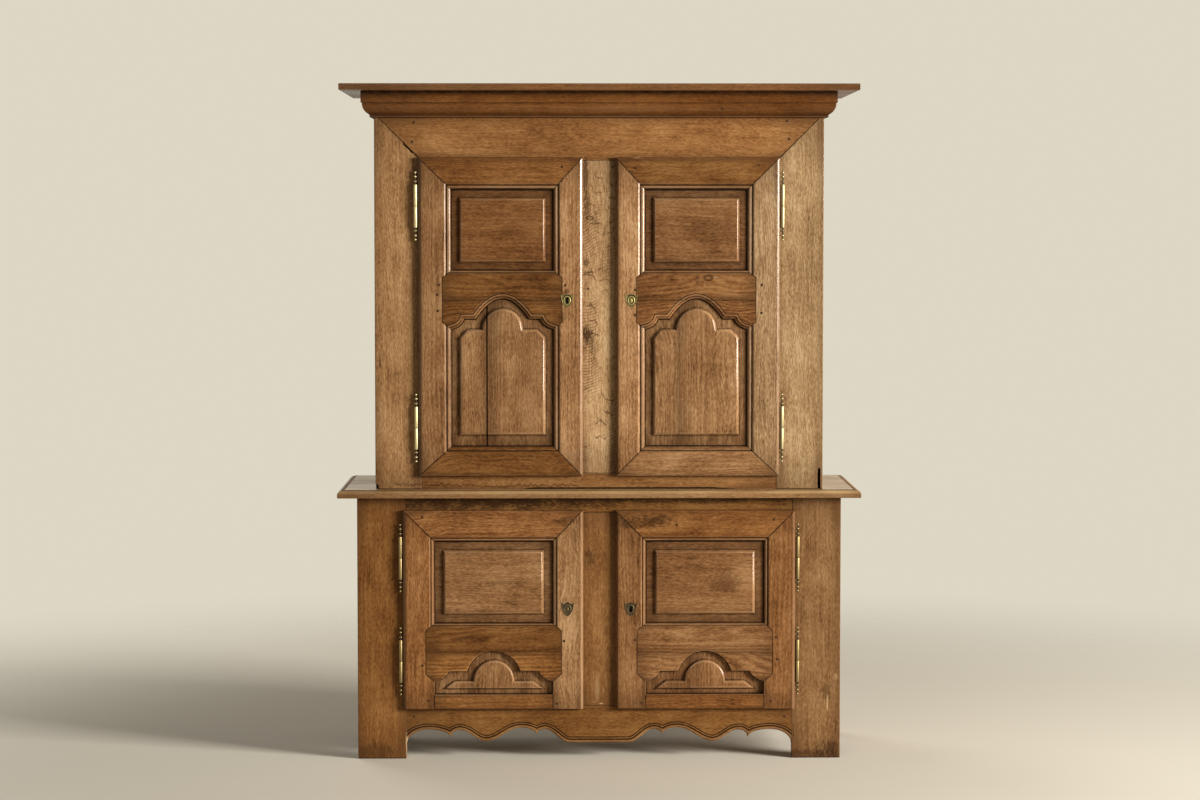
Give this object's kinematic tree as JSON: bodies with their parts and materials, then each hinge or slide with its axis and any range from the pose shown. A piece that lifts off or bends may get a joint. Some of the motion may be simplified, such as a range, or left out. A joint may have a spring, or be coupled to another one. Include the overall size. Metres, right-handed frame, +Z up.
{
  "type": "buffet cabinet",
  "caption": "Tall oak cupboard in two stacked bodies with framed, fielded-panel doors on pin hinges, a moulded ledge between the bodies, a scalloped apron and an overhanging cornice.",
  "frame": {"origin": "on the floor under the middle of the whole piece's box", "axes": "+X to the right as one faces the doors, +Y from the doors towards the back, +Z up"},
  "size_m": [1.572, 0.588, 2.0292],
  "materials": {
    "oak": "waxed, satin",
    "oak_panel": "waxed, satin",
    "oak_dark": "dark waxed",
    "oak_inside": "dry, unfinished",
    "brass": "worn, partly tarnished",
    "iron": "forged, dark"
  },
  "bodies": {
    "carcass": {"base_stile_left": "oak", "base_stile_right": "oak", "base_top_rail": "oak", "base_centre_stile": "oak", "base_apron": "oak", "base_side_left": "oak", "base_side_right": "oak", "base_back": "oak_inside", "base_floor": "oak_inside", "base_shelf": "oak_inside", "buffet_top": "oak", "upper_stile_left": "oak", "upper_stile_right": "oak", "upper_top_rail": "oak", "upper_bottom_rail": "oak", "upper_centre_stile": "oak", "upper_side_left": "oak", "upper_side_right": "oak", "upper_back": "oak_inside", "upper_floor": "oak_inside", "upper_shelf": "oak_inside", "upper_roof": "oak_inside", "cornice_moulding": "oak_dark", "cornice_cap": "oak_dark", "base_left_top_hinge_pin_half": "brass", "base_left_bottom_hinge_pin_half": "brass", "base_right_top_hinge_pin_half": "brass", "base_right_bottom_hinge_pin_half": "brass", "upper_left_top_hinge_pin_half": "brass", "upper_left_bottom_hinge_pin_half": "brass", "upper_right_top_hinge_pin_half": "brass", "upper_right_bottom_hinge_pin_half": "brass"},
    "base_door_left": {"base_door_left_frame": "oak", "base_door_left_upper_panel": "oak_panel", "base_door_left_lower_panel": "oak_panel", "base_left_top_hinge_door_half": "brass", "base_left_bottom_hinge_door_half": "brass", "base_left_escutcheon": "brass"},
    "base_door_right": {"base_door_right_frame": "oak", "base_door_right_upper_panel": "oak_panel", "base_door_right_lower_panel": "oak_panel", "base_right_top_hinge_door_half": "brass", "base_right_bottom_hinge_door_half": "brass", "base_right_escutcheon": "brass", "base_lock_case": "iron"},
    "upper_door_left": {"upper_door_left_frame": "oak", "upper_door_left_upper_panel": "oak_panel", "upper_door_left_lower_panel": "oak_panel", "upper_left_top_hinge_door_half": "brass", "upper_left_bottom_hinge_door_half": "brass", "upper_left_escutcheon": "brass", "upper_lock_case": "iron"},
    "upper_door_right": {"upper_door_right_frame": "oak", "upper_door_right_upper_panel": "oak_panel", "upper_door_right_lower_panel": "oak_panel", "upper_right_top_hinge_door_half": "brass", "upper_right_bottom_hinge_door_half": "brass", "upper_right_escutcheon": "brass"},
    "base_bolt": {"base_lock_bolt": "iron"},
    "upper_bolt": {"upper_lock_bolt": "iron"}
  },
  "joints": [
    {"name": "base_door_left_swing", "type": "hinge", "parent": "carcass", "child": "base_door_left", "pos_m": [-0.599, -0.204, 0.152], "axis": [0, 0, -1], "range_deg": [0, 175]},
    {"name": "base_door_right_swing", "type": "hinge", "parent": "carcass", "child": "base_door_right", "pos_m": [0.599, -0.204, 0.152], "axis": [0, 0, 1], "range_deg": [0, 175]},
    {"name": "upper_door_left_swing", "type": "hinge", "parent": "carcass", "child": "upper_door_left", "pos_m": [-0.5495, -0.204, 0.8576], "axis": [0, 0, -1], "range_deg": [0, 175]},
    {"name": "upper_door_right_swing", "type": "hinge", "parent": "carcass", "child": "upper_door_right", "pos_m": [0.5495, -0.204, 0.8576], "axis": [0, 0, 1], "range_deg": [0, 175]},
    {"name": "base_bolt_throw", "type": "slide", "parent": "base_door_right", "child": "base_bolt", "axis": [-1, 0, 0], "range_m": [0, 0.012]},
    {"name": "upper_bolt_throw", "type": "slide", "parent": "upper_door_left", "child": "upper_bolt", "axis": [1, 0, 0], "range_m": [0, 0.012]}
  ]
}
